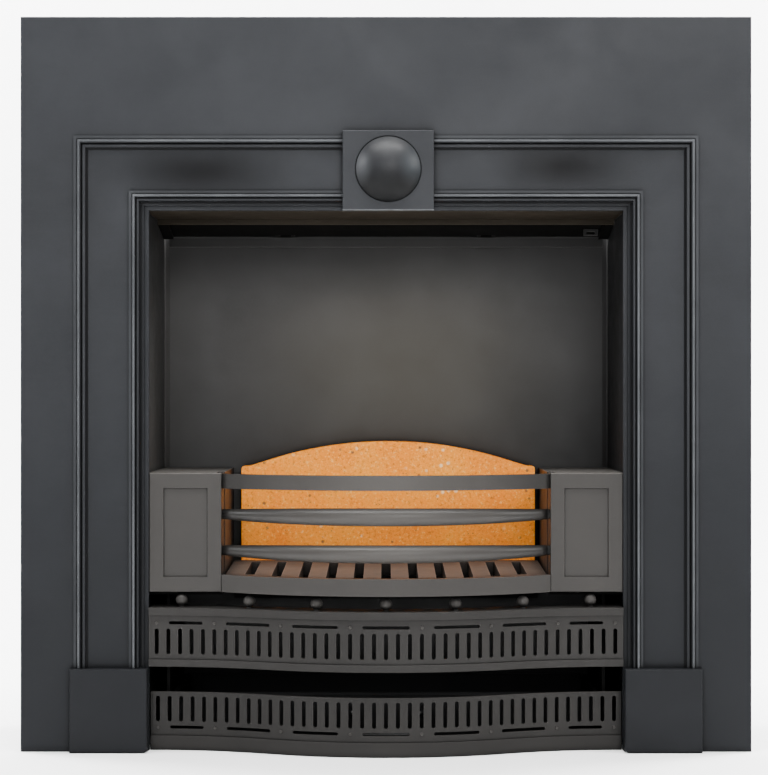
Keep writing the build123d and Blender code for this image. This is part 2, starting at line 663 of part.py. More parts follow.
def bellied_bar(z, r_mid, r_end, name):
    with BuildPart() as bar:
        n = 8
        for k in range(-n, n + 1):
            a = BAR_ANGLE * k / n
            r = r_end + (r_mid - r_end) * (1 - abs(k / n) ** 2.2)
            x, y = R_MID * sin(a), yy(BAR_FRONT) + arc_r(BAR_END) - R_MID * cos(a)
            if abs(k) == n:
                a = 0.0
            with BuildSketch(Plane(origin=(x, y, z), x_dir=(0, 0, 1), z_dir=(cos(a), sin(a), 0))):
                Circle(r)
        loft()
    save(bar, name)


bellied_bar(312.0, 11.7, 6.4, "bar_middle")
bellied_bar(264.0, 11.7, 6.4, "bar_lower")

# --------------------------------------------------------------------------
# upper fret: bowed ledge with balls, pierced plate, foot bar, rivets
# --------------------------------------------------------------------------
PITCH = 15.5
SLOT_W, SLOT_H, HSLOT_W = 5.5, 34.0, 4.3
H_SLOTS = [(0, 3.95), (6, 3.95), (12, 3.95), (17.5, 2.92), (-6, 3.95), (-12, 3.95), (-17.5, 2.92)]
RIVETS = [-20, -15, -9, -3, 3, 9, 15, 20]
FRET_X = 313.2


def fret_plate(name, e, z0, z1, z_slot, z_h, xe):
    with BuildPart() as fret:
        with BuildSketch(Plane.XY.offset(z0)):
            bow_face(e, 0.0, 5.0, xe)
        extrude(amount=z1 - z0)
        for k in range(-20, 21):
            with BuildSketch(bow_plane(k * PITCH, e, z_slot)):
                SlotOverall(SLOT_H, SLOT_W, rotation=90)
        for k, n in H_SLOTS:
            with BuildSketch(bow_plane(k * PITCH, e, z_h)):
                SlotOverall(n * PITCH, HSLOT_W)
        extrude(amount=14, both=True, mode=Mode.SUBTRACT)
        for k in RIVETS:
            with BuildSketch(bow_plane(k * PITCH, e, z_h)):
                Circle(1.65)
        extrude(amount=14, both=True, mode=Mode.SUBTRACT)
    save(fret, name)


def fret_rivets(name, e, z_h):
    with BuildPart() as riv:
        for k in RIVETS:
            x, y, ang = bow_at(k * PITCH, e)
            pl = bow_plane(k * PITCH, e, z_h).offset(0.02)
            with BuildSketch(pl):
                Circle(1.6)
            extrude(amount=-9.6)
            with BuildSketch(pl):
                Circle(2.3)
            extrude(amount=1.3, taper=28)
            with BuildSketch(pl.offset(-9.4)):
                Circle(2.6)
            extrude(amount=-1.2)
    save(riv, name)


with BuildPart() as ledge:
    with BuildSketch(Plane.XY.offset(185.0)):
        bow_face(E_UP, -3.0, 37.0, FRET_X)
    extrude(amount=5.0)
    with BuildSketch(Plane.XY.offset(180.0)):
        bow_face(E_UP, -3.0, 5.0, FRET_X)
    extrude(amount=5.6)
    fillet(ledge.edges().filter_by(lambda e: abs(e.center().Z - 190.0) < 0.01).sort_by(Axis.Y)[0:5], 1.2)
    # ears behind the pierced plate for the rivets
    for k in RIVETS:
        pl = bow_plane(k * PITCH, E_UP, 175.5)
        with BuildSketch(pl.offset(-9.2)):
            Rectangle(9.0, 21.0)
        extrude(amount=4.1)
    for k in RIVETS:
        with BuildSketch(bow_plane(k * PITCH, E_UP, 169.9)):
            Circle(1.65)
    extrude(amount=-14, mode=Mode.SUBTRACT)
save(ledge, "upper_fret_ledge")

fret_plate("upper_fret_plate", E_UP, 121.8, 179.9, 145.3, 169.9, FRET_X)
fret_rivets("upper_fret_rivets", E_UP, 169.9)

with BuildPart() as foot:
    with BuildSketch(Plane.XY.offset(112.0)):
        bow_face(E_UP, -2.4, 7.0, FRET_X)
    extrude(amount=9.7)
    fillet(foot.edges().filter_by(lambda e: abs(e.center().Z - 112.0) < 0.01).sort_by(Axis.Y)[0:5], 1.0)
save(foot, "upper_fret_foot")

with BuildPart() as brackets:
    # angle brackets that carry the upper fret on the side plates
    for sx in (-1, 1):
        with BuildSketch(Plane.XY.offset(111.2)):
            with BuildLine():
                Polyline((sx * 317.8, yy(22.2)), (sx * 317.8, yy(52)), (sx * 313.8, yy(52)), (sx * 313.8, yy(26.2)), (sx * 298, yy(26.2)), (sx * 298, yy(22.2)), close=True)
            make_face()
        extrude(amount=73.2)
        with BuildSketch(Plane.XY.offset(125.0)):
            with Locations((sx * 310.0, yy(14.9))):
                Rectangle(5.0, 15.2)
        extrude(amount=35.0)
save(brackets, "fret_brackets")

with BuildPart() as balls:
    for bx in (-271.0, -180.0, -90.5, 0.0, 90.5, 180.0, 271.0):
        yb = ledge_y(bx) + 14.0
        with BuildSketch(Plane(origin=(bx, yb, 0), x_dir=(1, 0, 0), z_dir=(0, -1, 0))):
            with BuildLine():
                Line((0, 190.1), (4.2, 190.1))
                Line((4.2, 190.1), (3.4, 191.4))
                zb, rb = 198.9, 8.0
                Line((3.4, 191.4), (3.4, zb - sqrt(rb ** 2 - 3.4 ** 2)))
                ThreePointArc((3.4, zb - sqrt(rb ** 2 - 3.4 ** 2)), (rb, zb), (0, zb + rb))
                Line((0, zb + rb), (0, 190.1))
            make_face()
        revolve(axis=Axis((bx, yb, 0), (0, 0, 1)))
save(balls, "frieze_balls")

# --------------------------------------------------------------------------
# ash-pit cover: the same pierced pattern upside down on a plain base bar
# --------------------------------------------------------------------------
COVER_X = 312.4
fret_plate("cover_plate", E_LOW, 19.1, 77.0, 54.2, 29.9, COVER_X)
fret_rivets("cover_rivets", E_LOW, 29.9)
with BuildPart() as cbase:
    with BuildSketch(Plane.XY):
        bow_face(E_LOW, -2.4, 9.2, COVER_X)
    extrude(amount=19.0)
    for k in RIVETS:
        pl = bow_plane(k * PITCH, E_LOW, 26.3)
        with BuildSketch(pl.offset(-9.0)):
            Rectangle(9.0, 15.0)
        extrude(amount=3.9)
    for k in RIVETS:
        with BuildSketch(bow_plane(k * PITCH, E_LOW, 29.9)):
            Circle(1.65)
    extrude(amount=-14, mode=Mode.SUBTRACT)
save(cbase, "cover_base")

# --------------------------------------------------------------------------
# ash pan with its drop handle
# --------------------------------------------------------------------------
PAN_X, PAN_Y0, PAN_Y1, PAN_Z = 282.0, 43.0, 213.0, 72.0
with BuildPart() as pan:
    with BuildSketch(Plane.XY.offset(0.5)):
        with Locations((0, yy((PAN_Y0 + PAN_Y1) / 2))):
            RectangleRounded(2 * PAN_X, PAN_Y1 - PAN_Y0, 6)
    extrude(amount=PAN_Z - 0.5)
    with BuildSketch(Plane.XY.offset(PAN_Z - 4)):
        with Locations((0, yy((PAN_Y0 + PAN_Y1) / 2))):
            RectangleRounded(2 * PAN_X + 7, PAN_Y1 - PAN_Y0 + 7, 9)
    extrude(amount=4)
    with BuildSketch(Plane.XY.offset(2.1)):
        with Locations((0, yy((PAN_Y0 + PAN_Y1) / 2))):
            RectangleRounded(2 * PAN_X - 3.2, PAN_Y1 - PAN_Y0 - 3.2, 4.5)
    extrude(amount=PAN_Z, mode=Mode.SUBTRACT)
save(pan, "ash_pan")

BAIL_X, BAIL_Y, BAIL_Z, BAIL_DROP, WIRE = 42.0, 33.0, 46.0, 29.0, 2.5
with BuildPart() as ears:
    for sx in (-1, 1):
        with BuildSketch(yz(sx * (BAIL_X + 5.0))):
            with BuildLine():
                Polyline((yy(42.9), BAIL_Z - 7), (yy(42.9), BAIL_Z + 7), (yy(BAIL_Y), BAIL_Z + 5.5), (yy(BAIL_Y - 4.5), BAIL_Z), (yy(BAIL_Y), BAIL_Z - 5.5), close=True)
            make_face()
            with Locations((yy(BAIL_Y), BAIL_Z)):
                Circle(WIRE + 0.06, mode=Mode.SUBTRACT)
        extrude(amount=sx * 3.0)
        with BuildSketch(xz(42.9)):
            with Locations((sx * (BAIL_X + 12.0), BAIL_Z)):
                Rectangle(14.0, 14.0)
        extrude(amount=2.0)
save(ears, "bail_ears")

with BuildPart() as bail:
    # round wire bent to a stirrup, its tips turned out through the ears
    with BuildLine() as wire_path:
        FilletPolyline((-BAIL_X - 10.0, yy(BAIL_Y), BAIL_Z), (-BAIL_X, yy(BAIL_Y), BAIL_Z), (-BAIL_X, yy(BAIL_Y), BAIL_Z - BAIL_DROP),
                       (BAIL_X, yy(BAIL_Y), BAIL_Z - BAIL_DROP), (BAIL_X, yy(BAIL_Y), BAIL_Z), (BAIL_X + 10.0, yy(BAIL_Y), BAIL_Z), radius=3.6)
    with BuildSketch(Plane(origin=(-BAIL_X - 10.0, yy(BAIL_Y), BAIL_Z), x_dir=(0, 1, 0), z_dir=(1, 0, 0))):
        Circle(WIRE)
    sweep(path=wire_path.wires()[0])
save(bail, "ash_pan_bail")

# --------------------------------------------------------------------------
# fasteners
# --------------------------------------------------------------------------
with BuildPart() as fb:
    for bx, bz in FLANGE_BOLTS + SHELF_BOLTS:
        with BuildSketch(xz(IM_BACK + 6.2)):
            with Locations((bx, bz)):
                Circle(3.0)
        extrude(amount=6.2 + 4.0)
        with BuildSketch(xz(IM_BACK + 6.2 + 4.2)):
            with Locations((bx, bz)):
                RegularPolygon(5.8, 6)
        extrude(amount=4.2)
save(fb, "casing_bolts")

with BuildPart() as bb:
    for bx, bz in BACK_BOLTS:
        with BuildSketch(xz(BACK_MOST)):
            with Locations((bx, bz)):
                RegularPolygon(5.8, 6)
        extrude(amount=BACK_MOST - BACK_Y - 7.1)
        with BuildSketch(xz(BACK_Y + 8)):
            with Locations((bx, bz)):
                Circle(3.0)
        extrude(amount=8 + 6.0 + 8.0)
        with BuildSketch(xz(BACK_Y - 6.2)):
            with Locations((bx, bz)):
                RegularPolygon(5.8, 6)
        extrude(amount=5.0)
save(bb, "back_plate_bolts")

with BuildPart() as ps:
    for sx in (-1, 1):
        for z in (30, 85):
            with BuildSketch(xz(PLATE_BACK + 3.6)):
                with Locations((sx * 365, z)):
                    Circle(5.2)
            extrude(amount=3.5)
            with BuildSketch(xz(PLATE_BACK + 0.2)):
                with Locations((sx * 365, z)):
                    Circle(3.0)
            extrude(amount=PLATE_BACK + 3.5)
save(ps, "plinth_screws")
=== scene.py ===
import json
import math
import bpy
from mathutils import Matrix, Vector

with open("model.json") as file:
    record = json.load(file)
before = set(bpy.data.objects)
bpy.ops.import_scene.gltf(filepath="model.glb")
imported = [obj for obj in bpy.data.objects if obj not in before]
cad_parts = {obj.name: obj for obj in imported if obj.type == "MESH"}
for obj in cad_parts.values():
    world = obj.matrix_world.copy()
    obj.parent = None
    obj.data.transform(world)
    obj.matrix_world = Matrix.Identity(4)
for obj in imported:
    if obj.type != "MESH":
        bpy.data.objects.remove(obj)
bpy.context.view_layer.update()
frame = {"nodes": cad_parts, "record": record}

nodes = frame["nodes"]
F = -0.08925          # Y of the flat front border of the facia


# ---------------------------------------------------------------------------
# node helpers
# ---------------------------------------------------------------------------
class Mat:
    def __init__(self, name, rough=0.5, metallic=0.0, spec=0.5):
        self.m = bpy.data.materials.new(name)
        self.m.use_nodes = True
        self.t = self.m.node_tree
        self.t.nodes.clear()
        self.out = self.t.nodes.new("ShaderNodeOutputMaterial")
        self.bsdf = self.t.nodes.new("ShaderNodeBsdfPrincipled")
        self.bsdf.inputs["Roughness"].default_value = rough
        self.bsdf.inputs["Metallic"].default_value = metallic
        self.bsdf.inputs["Specular IOR Level"].default_value = spec
        self.link(self.bsdf.outputs[0], self.out.inputs["Surface"])
        self.tc = self.t.nodes.new("ShaderNodeTexCoord")
        self.co = self.tc.outputs["Object"]

    def link(self, a, b):
        self.t.links.new(a, b)

    def mapped(self, scale=(1, 1, 1), loc=(0, 0, 0)):
        n = self.t.nodes.new("ShaderNodeMapping")
        n.inputs["Scale"].default_value = scale
        n.inputs["Location"].default_value = loc
        self.link(self.co, n.inputs["Vector"])
        return n.outputs[0]

    def noise(self, scale, detail=4, rough=0.55, co=None, dist=0.0):
        n = self.t.nodes.new("ShaderNodeTexNoise")
        n.inputs["Scale"].default_value = scale
        n.inputs["Detail"].default_value = detail
        n.inputs["Roughness"].default_value = rough
        n.inputs["Distortion"].default_value = dist
        self.link(co or self.co, n.inputs["Vector"])
        return n.outputs["Fac"]

    def voronoi(self, scale, out="Distance", co=None, rnd=1.0, feature="F1"):
        n = self.t.nodes.new("ShaderNodeTexVoronoi")
        n.feature = feature
        n.inputs["Scale"].default_value = scale
        n.inputs["Randomness"].default_value = rnd
        self.link(co or self.co, n.inputs["Vector"])
        return n.outputs[out]

    def ramp(self, fac, stops, interp="LINEAR"):
        n = self.t.nodes.new("ShaderNodeValToRGB")
        n.color_ramp.interpolation = interp
        e = n.color_ramp.elements
        while len(e) < len(stops):
            e.new(0.5)
        for el, (p, c) in zip(e, stops):
            el.position = p
            el.color = (*c, 1.0) if len(c) == 3 else c
        self.link(fac, n.inputs["Fac"])
        return n.outputs["Color"]

    def maprange(self, v, a, b, c=0.0, d=1.0, smooth=True):
        n = self.t.nodes.new("ShaderNodeMapRange")
        n.interpolation_type = "SMOOTHSTEP" if smooth else "LINEAR"
        n.inputs["From Min"].default_value = a
        n.inputs["From Max"].default_value = b
        n.inputs["To Min"].default_value = c
        n.inputs["To Max"].default_value = d
        self.link(v, n.inputs["Value"])
        return n.outputs["Result"]

    def math(self, op, a, b=None, c=None):
        n = self.t.nodes.new("ShaderNodeMath")
        n.operation = op
        for i, v in enumerate((a, b, c)):
            if v is None:
                continue
            if isinstance(v, (int, float)):
                n.inputs[i].default_value = v
            else:
                self.link(v, n.inputs[i])
        return n.outputs[0]

    def mix(self, fac, a, b, mode="MIX"):
        n = self.t.nodes.new("ShaderNodeMix")
        n.data_type = "RGBA"
        n.blend_type = mode
        for s, v in ((0, fac), (6, a), (7, b)):
            if isinstance(v, (int, float)):
                n.inputs[s].default_value = v
            elif isinstance(v, tuple):
                n.inputs[s].default_value = (*v, 1.0)
            else:
                self.link(v, n.inputs[s])
        return n.outputs[2]

    def axis(self, which):
        n = self.t.nodes.new("ShaderNodeSeparateXYZ")
        self.link(self.co, n.inputs[0])
        return n.outputs[which]

    def blob(self, cx, cz, rx, rz):
        """1 in the middle of a soft ellipse in the XZ plane, 0 outside."""
        x = self.math("DIVIDE", self.math("SUBTRACT", self.axis(0), cx), rx)
        z = self.math("DIVIDE", self.math("SUBTRACT", self.axis(2), cz), rz)
        d = self.math("SQRT", self.math("ADD", self.math("MULTIPLY", x, x), self.math("MULTIPLY", z, z)))
        return self.maprange(d, 0.0, 1.0, 1.0, 0.0)

    def bump(self, layers):
        """layers: (height, strength, distance in metres)"""
        prev = None
        for h, s, d in layers:
            n = self.t.nodes.new("ShaderNodeBump")
            n.inputs["Strength"].default_value = s
            n.inputs["Distance"].default_value = d
            self.link(h, n.inputs["Height"])
            if prev is not None:
                self.link(prev, n.inputs["Normal"])
            prev = n.outputs[0]
        self.link(prev, self.bsdf.inputs["Normal"])

    def ao(self, dist, inside=False, samples=6):
        n = self.t.nodes.new("ShaderNodeAmbientOcclusion")
        n.samples = samples
        n.inside = inside
        n.inputs["Distance"].default_value = dist
        return n.outputs["AO"]

    def color(self, c):
        self.link(c, self.bsdf.inputs["Base Color"])

    def rough(self, r):
        self.link(r, self.bsdf.inputs["Roughness"])


def scaled(c, k):
    return tuple(v * k for v in c)


def iron(name, base, rough=0.5, spec=0.4, mottle=0.16, grain=0.25, warm=None, extra=None, metallic=0.0, groove_shade=0.75, arris_wear_and_highlight=0.5, reach=0.011):
    """Black-leaded cast iron: cloudy brush marks, fine sand-cast grain, a few pits."""
    m = Mat(name, rough, metallic, spec)
    cloud = m.noise(7.0, 5, 0.6, dist=0.3)
    mid = m.noise(38.0, 4, 0.6)
    brushed = m.noise(22.0, 5, 0.6, co=m.mapped((1.0, 1.0, 6.0)))
    fine = m.noise(520.0, 3, 0.6)
    pits = m.voronoi(85.0, "Distance")
    pit = m.maprange(pits, 0.02, 0.10, 1.0, 0.0)
    keep = m.maprange(m.noise(11.0, 2, 0.5), 0.60, 0.72)
    pit = m.math("MULTIPLY", pit, keep)
    c = m.ramp(cloud, [(0.30, scaled(base, 1 - mottle)), (0.70, scaled(base, 1 + mottle))])
    c = m.mix(m.maprange(mid, 0.35, 0.75, 0.0, 0.30), c, scaled(base, 1 - 1.2 * mottle))
    c = m.mix(m.maprange(brushed, 0.45, 0.75, 0.0, 0.22), c, scaled(base, 1 + 1.3 * mottle))
    c = m.mix(m.maprange(fine, 0.40, 0.70, 0.0, 0.18), c, scaled(base, 1.35))
    c = m.mix(m.math("MULTIPLY", pit, 0.7), c, scaled(base, 0.4))
    if warm is not None:
        c = m.mix(m.maprange(m.noise(4.0, 3, 0.5), 0.45, 0.75, 0.0, 0.5), c, warm)
    if extra is not None:
        c = extra(m, c)
    # painted shade (ambient occlusion) darkens the grooves and corners, and a painted highlight lightens the arrises,
    # which are also rubbed
    groove_shade_mask = m.maprange(m.ao(reach, samples=8), 0.35, 0.92, 1.0, 0.0)
    if arris_wear_and_highlight > 0:
        arris_highlight = m.maprange(m.ao(0.0014, inside=True, samples=8), 0.50, 0.85, 1.0, 0.0)
        c = m.mix(m.math("MULTIPLY", arris_highlight, arris_wear_and_highlight), c, scaled(base, 3.2))
    c = m.mix(m.math("MULTIPLY", groove_shade_mask, groove_shade), c, scaled(base, 0.08))
    m.color(c)
    r = m.maprange(m.math("ADD", m.math("MULTIPLY", cloud, 0.6), m.math("MULTIPLY", mid, 0.4)), 0.3, 0.7, rough + 0.07, rough - 0.07)
    m.rough(m.math("ADD", r, m.math("MULTIPLY", groove_shade_mask, 0.25)))
    m.bump([(mid, 0.10, 0.0008), (fine, grain, 0.00025), (m.math("SUBTRACT", 1.0, pit), 0.35, 0.0004)])
    return m.m


# ---------------------------------------------------------------------------
# materials
# ---------------------------------------------------------------------------
def paint_moulding_light(m, c, foot_x, foot_z, width, bead_highlight_col, stops, streak):
    """Painted highlights on the beads and painted shade in the quirks of a mitred moulding: stops are (mm from the
    outer foot, tone).
    """
    ax = m.math("SUBTRACT", foot_x, m.math("ABSOLUTE", m.axis(0)))
    az = m.math("SUBTRACT", foot_z, m.axis(2))
    e = m.math("MINIMUM", ax, az)
    t = m.math("DIVIDE", e, width)
    tone = m.ramp(t, [(mm / (1000 * width), (v, v, v)) for mm, v in stops])
    bead_highlight = m.math("MULTIPLY", m.maprange(tone, 0.5, 1.0, 0.0, 1.0, False), streak)
    quirk_shade = m.maprange(tone, 0.5, 0.0, 0.0, 1.0, False)
    inside = m.math("MULTIPLY", m.math("GREATER_THAN", t, 0.0), m.math("LESS_THAN", t, 1.0))
    c = m.mix(m.math("MULTIPLY", bead_highlight, inside), c, bead_highlight_col)
    return m.mix(m.math("MULTIPLY", m.math("MULTIPLY", quirk_shade, 0.94), inside), c, (0.0006, 0.0006, 0.0008))


def facia_extra(m, c):
    # soft dark smudges on the lintel and a darker foot, on the front only
    plain = c
    front = m.maprange(m.axis(1), F + 0.0072, F + 0.0086, 1.0, 0.0)
    c = m.mix(m.math("MULTIPLY", m.blob(-0.250, 0.766, 0.160, 0.052), 0.92), c, (0.0010, 0.0010, 0.0012))
    c = m.mix(m.math("MULTIPLY", m.blob(0.232, 0.772, 0.125, 0.048), 0.90), c, (0.0010, 0.0010, 0.0012))
    foot = m.maprange(m.axis(2), 0.0, 0.75, 1.0, 0.0)
    c = m.mix(m.math("MULTIPLY", foot, 0.70), c, (0.0040, 0.0044, 0.0052))
    streak = m.maprange(m.noise(14.0, 4, 0.6), 0.30, 0.65, 0.55, 1.0)
    # painted highlights on the beads and painted shade in the quirks of the outer and inner mouldings
    c = paint_moulding_light(m, c, 0.4125, 0.813, 0.0195, (0.056, 0.059, 0.063),
             [(0.0, 0.5), (1.0, 0.62), (4.2, 0.60), (4.4, 0.25), (5.2, 0.30), (5.8, 0.85), (7.6, 1.0), (8.8, 0.60), (9.9, 0.12),
              (12.1, 0.0), (12.6, 0.50), (14.6, 0.58), (15.6, 0.45), (16.3, 0.0), (18.9, 0.02), (19.5, 0.5)], streak)
    c = paint_moulding_light(m, c, 0.3395, 0.7403, 0.0255, (0.056, 0.059, 0.063),
             [(0.0, 0.5), (1.0, 0.62), (3.9, 0.60), (4.1, 0.25), (4.9, 0.30), (5.4, 0.85), (7.2, 1.0), (8.4, 0.62), (9.3, 0.10),
              (11.0, 0.0), (11.8, 0.45), (13.4, 0.52), (14.4, 0.05), (17.0, 0.05), (18.6, 0.30), (20.0, 0.42), (25.5, 0.5)], streak)
    return m.mix(front, plain, c)


facia_iron = iron("facia_iron_look", (0.0158, 0.0166, 0.0184), 0.42, 0.060, 0.16, 0.22, extra=facia_extra, groove_shade=0.55, arris_wear_and_highlight=0)
def tablet_painted_highlight(m, c):
    # painted highlights along the lower and upper edges
    c = m.mix(m.maprange(m.axis(2), 0.7149, 0.7143, 0.0, 0.9), c, (0.080, 0.083, 0.087))
    return m.mix(m.maprange(m.axis(2), 0.8172, 0.8180, 0.0, 0.5), c, (0.060, 0.062, 0.066))


tablet_iron = iron("tablet_iron_look", (0.0158, 0.0166, 0.0184), 0.42, 0.060, 0.16, 0.22, extra=tablet_painted_highlight, groove_shade=0.6, arris_wear_and_highlight=0)
plinth_iron = iron("plinth_iron_look", (0.0074, 0.0078, 0.0088), 0.42, 0.055, 0.16, 0.22, groove_shade=0.6, arris_wear_and_highlight=0)


def boss_painted_light(m, c):
    # painted highlights at the top and both sides, painted shade over the lower half
    c = m.mix(m.maprange(m.axis(2), 0.786, 0.742, 0.0, 0.95), c, (0.0012, 0.0013, 0.0015))
    for x, z, rx, rz, k, col in ((0.004, 0.797, 0.036, 0.022, 0.62, (0.038, 0.039, 0.040)),
                                 (-0.034, 0.771, 0.020, 0.032, 0.70, (0.042, 0.044, 0.047)),
                                 (0.036, 0.774, 0.026, 0.034, 0.50, (0.032, 0.037, 0.041))):
        c = m.mix(m.math("MULTIPLY", m.blob(x, z, rx, rz), k), c, col)
    return c


boss_iron = iron("boss_iron_look", (0.0150, 0.0156, 0.0170), 0.40, 0.10, 0.10, 0.18, extra=boss_painted_light, groove_shade=0.9, arris_wear_and_highlight=0)


def bar_painted_light(m, c):
    # painted highlight towards the middle, painted shade at the ends where the bowed bars turn away from the light
    a = m.math("ABSOLUTE", m.axis(0))
    c = m.mix(m.maprange(a, 0.15, 0.0, 0.0, 0.45), c, (0.046, 0.042, 0.038))
    return m.mix(m.maprange(a, 0.12, 0.205, 0.0, 0.65), c, (0.0055, 0.0051, 0.0048))


bar_iron = iron("bar_iron_look", (0.0230, 0.0212, 0.0196), 0.40, 0.18, 0.10, 0.25, extra=bar_painted_light, arris_wear_and_highlight=0, groove_shade=0.7)
fret_iron = iron("fret_iron_look", (0.0135, 0.0127, 0.0120), 0.46, 0.10, 0.12, 0.30, arris_wear_and_highlight=0.3, groove_shade=0.9)
shelf_iron = iron("shelf_iron_look", (0.0150, 0.0118, 0.0080), 0.62, 0.10, 0.20, 0.30, arris_wear_and_highlight=0.6, groove_shade=0.3)
def hob_extra(m, c):
    # the hob tops are lighter
    return m.mix(m.maprange(m.axis(2), 0.3660, 0.3668, 0.0, 0.75), c, (0.075, 0.070, 0.064))


hob_iron = iron("hob_iron_look", (0.0215, 0.0200, 0.0186), 0.46, 0.13, 0.09, 0.34, extra=hob_extra, arris_wear_and_highlight=0.3, groove_shade=0.85)


def firebox_painted_light(m, c):
    # painted light patch in the middle of the back, with painted shade at the top, the bottom, towards the sides and
    # in the corners, inside the firebox only
    plain = c
    inner = m.maprange(m.axis(1), F + 0.227, F + 0.230, 1.0, 0.0)
    c = m.mix(m.math("MULTIPLY", m.blob(0.02, 0.50, 0.30, 0.24), 0.60), c, (0.052, 0.046, 0.035))
    c = m.mix(m.maprange(m.axis(2), 0.56, 0.70, 0.0, 0.85), c, (0.0040, 0.0038, 0.0036))
    c = m.mix(m.maprange(m.axis(2), 0.235, 0.200, 0.0, 0.96), c, (0.0010, 0.0010, 0.0010))
    c = m.mix(m.maprange(m.axis(0), 0.10, 0.30, 0.0, 0.35), c, (0.0060, 0.0060, 0.0060))
    c = m.mix(m.maprange(m.axis(0), 0.308, 0.318, 0.0, 0.80), c, (0.0014, 0.0015, 0.0018))
    return m.mix(inner, plain, c)


firebox_iron = iron("firebox_iron_look", (0.022, 0.0213, 0.0205), 0.60, 0.22, 0.14, 0.28, extra=firebox_painted_light)
grate_iron = iron("grate_iron_look", (0.060, 0.047, 0.039), 0.62, 0.16, 0.14, 0.35, warm=(0.085, 0.050, 0.032), groove_shade=0.97, reach=0.030)
# soot-black iron, which also stands as painted shade inside the ash pit, under the hobs and in the throat
soot_and_shade = iron("soot_and_shade_iron_look", (0.0030, 0.0029, 0.0028), 0.75, 0.03, 0.20, 0.30)
sheet_steel = iron("sheet_steel_look", (0.0040, 0.0040, 0.0042), 0.60, 0.08, 0.12, 0.10)
fixing = iron("steel_fixing_look", (0.06, 0.06, 0.06), 0.42, 0.4, 0.18, 0.15, metallic=0.7)


def brick():
    m = Mat("fire_brick_look", 0.88, 0.0, 0.22)
    base = (1.0, 0.300, 0.010)
    cloud = m.noise(9.0, 5, 0.6, dist=0.4)
    mid = m.noise(45.0, 5, 0.65)
    fine = m.noise(420.0, 3, 0.6)
    c = m.ramp(cloud, [(0.28, (0.92, 0.225, 0.006)), (0.50, base), (0.74, (1.0, 0.38, 0.028))])
    c = m.mix(m.maprange(mid, 0.42, 0.72, 0.0, 0.50), c, (0.97, 0.33, 0.035))
    # cream flecks and dark grog
    v1 = m.voronoi(62.0, "Distance", co=m.mapped((1, 1, 1), (0.13, 0.0, 0.31)))
    k1 = m.maprange(m.noise(18.0, 2, 0.5), 0.50, 0.58)
    fleck = m.math("MULTIPLY", m.maprange(v1, 0.10, 0.22, 1.0, 0.0), k1)
    c = m.mix(m.math("MULTIPLY", fleck, 0.75), c, (0.93, 0.70, 0.42))
    v2 = m.voronoi(58.0, "Distance", co=m.mapped((1, 1, 1), (0.71, 0.2, 0.05)))
    k2 = m.maprange(m.noise(25.0, 2, 0.5, co=m.mapped((1, 1, 1), (3.0, 1.0, 2.0))), 0.50, 0.54)
    grog = m.math("MULTIPLY", m.maprange(v2, 0.09, 0.17, 1.0, 0.0), k2)
    c = m.mix(m.math("MULTIPLY", grog, 0.85), c, (0.16, 0.085, 0.05))
    v3 = m.voronoi(190.0, "Distance", co=m.mapped((1, 1, 1), (0.21, 0.4, 0.9)))
    k3 = m.maprange(m.noise(60.0, 2, 0.5), 0.54, 0.60)
    speck = m.math("MULTIPLY", m.maprange(v3, 0.10, 0.24, 1.0, 0.0), k3)
    c = m.mix(m.math("MULTIPLY", speck, 0.8), c, (0.22, 0.12, 0.07))
    grit = m.noise(230.0, 4, 0.75)
    c = m.mix(m.maprange(grit, 0.54, 0.68, 0.0, 0.75), c, (0.98, 0.56, 0.17))
    c = m.mix(m.maprange(grit, 0.46, 0.33, 0.0, 0.55), c, (0.46, 0.090, 0.008))
    c = m.mix(m.maprange(fine, 0.45, 0.75, 0.0, 0.30), c, (0.55, 0.15, 0.02))
    m.color(c)
    m.rough(m.maprange(mid, 0.3, 0.7, 0.82, 0.94))
    m.bump([(mid, 0.25, 0.001), (fine, 0.35, 0.0004), (m.math("SUBTRACT", 1.0, grog), 0.5, 0.0008)])
    return m.m


fire_brick = brick()

LOOKS = {"facia_iron": facia_iron, "hob_iron": hob_iron, "firebox_iron": firebox_iron, "grate_iron": grate_iron,
         "brick": fire_brick, "sheet_steel": sheet_steel, "steel_fixing": fixing}
slots = {s["node"]: s["material_slot"] for s in frame["record"]["subparts"]}
# parts given soot-black iron, which also stands as painted shade in the ash pit, under the hobs and in the throat
SOOT_AND_SHADE_PARTS = ("pit_wall_left", "pit_wall_right", "hob_base_left", "hob_base_right", "rear_ledge", "fret_brackets",
         "damper_flap", "damper_ledges")
SPECIAL = {"keystone_tablet": tablet_iron, "plinth_left": plinth_iron, "plinth_right": plinth_iron, "boss_dome": boss_iron, "throat_shelf": shelf_iron,
           "bar_top_flat": bar_iron, "bar_middle": bar_iron, "bar_lower": bar_iron,
           "upper_fret_ledge": fret_iron, "upper_fret_plate": fret_iron, "upper_fret_foot": fret_iron,
           "cover_plate": fret_iron, "cover_base": fret_iron}
for name, obj in nodes.items():
    look = soot_and_shade if name in SOOT_AND_SHADE_PARTS else SPECIAL.get(name, LOOKS[slots[name]])
    if obj.material_slots:
        for sl in obj.material_slots:
            sl.material = look
    else:
        obj.data.materials.append(look)

# worn and rounded arrises
ROUND = {"hob_left": 0.0012, "hob_right": 0.0012, "front_rail": 0.0030, "bar_top_flat": 0.0018, "upper_fret_ledge": 0.0008,
         "upper_fret_foot": 0.0012, "upper_fret_plate": 0.0005, "cover_plate": 0.0005, "cover_base": 0.0012,
         "facia_casting": 0.0005, "keystone_tablet": 0.0004, "bottom_grate": 0.0012, "throat_shelf": 0.0010,
         "back_plate": 0.0006, "side_plate_left": 0.0008, "side_plate_right": 0.0008, "damper_flap": 0.0008}
for name, r in ROUND.items():
    o = nodes[name]
    b = o.modifiers.new("arris", "BEVEL")
    b.width = r
    b.segments = 3
    b.limit_method = "ANGLE"
    b.angle_limit = math.radians(40)
    b.harden_normals = True
    b.use_clamp_overlap = True

